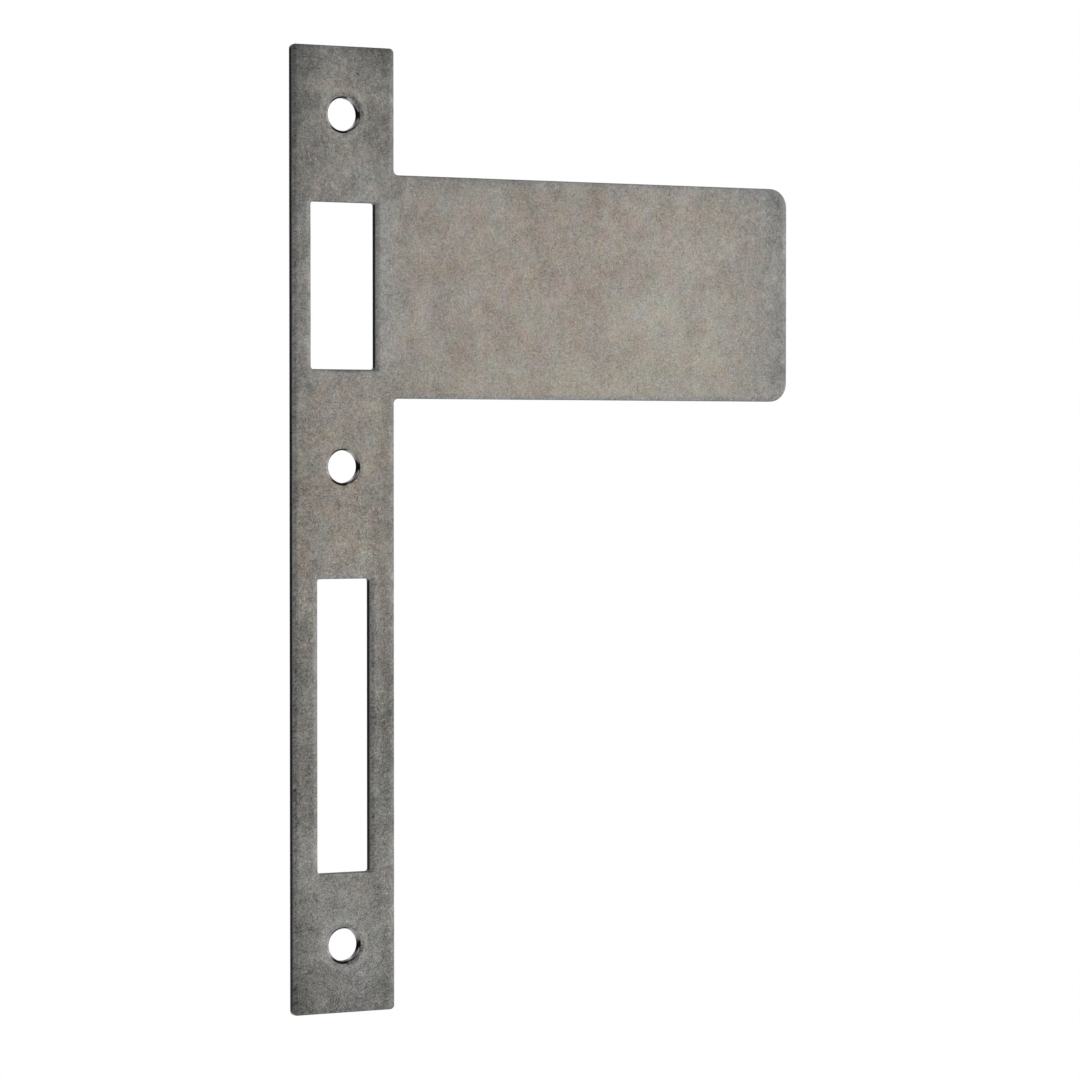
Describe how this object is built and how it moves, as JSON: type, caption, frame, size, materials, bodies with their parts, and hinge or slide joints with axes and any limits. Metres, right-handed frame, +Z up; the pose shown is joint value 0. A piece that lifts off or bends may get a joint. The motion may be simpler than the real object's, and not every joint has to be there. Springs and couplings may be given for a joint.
{
  "type": "door strike plate",
  "caption": "Flat steel strike plate for a mortise lock: upright strip with latch and bolt openings, screw holes and a long flat tongue that the latch slides along.",
  "frame": {"origin": "middle of the strip's back face: on the strip's centreline, halfway up it, in the face that lies on the door frame", "axes": "+Z up the strip towards the end with the tongue, +X across the strip towards the tongue's end, +Y through the sheet from the front face to the back face; the front face looks towards -Y"},
  "size_m": [0.102, 0.0015, 0.174],
  "materials": {
    "aged_steel": "tumbled and chemically aged bare steel: matt mid-grey with brownish and greenish-grey clouds, short fine scratches in every direction, darker at the ends and edges"
  },
  "bodies": {
    "root": {"strike_plate": "aged_steel"}
  },
  "joints": []
}
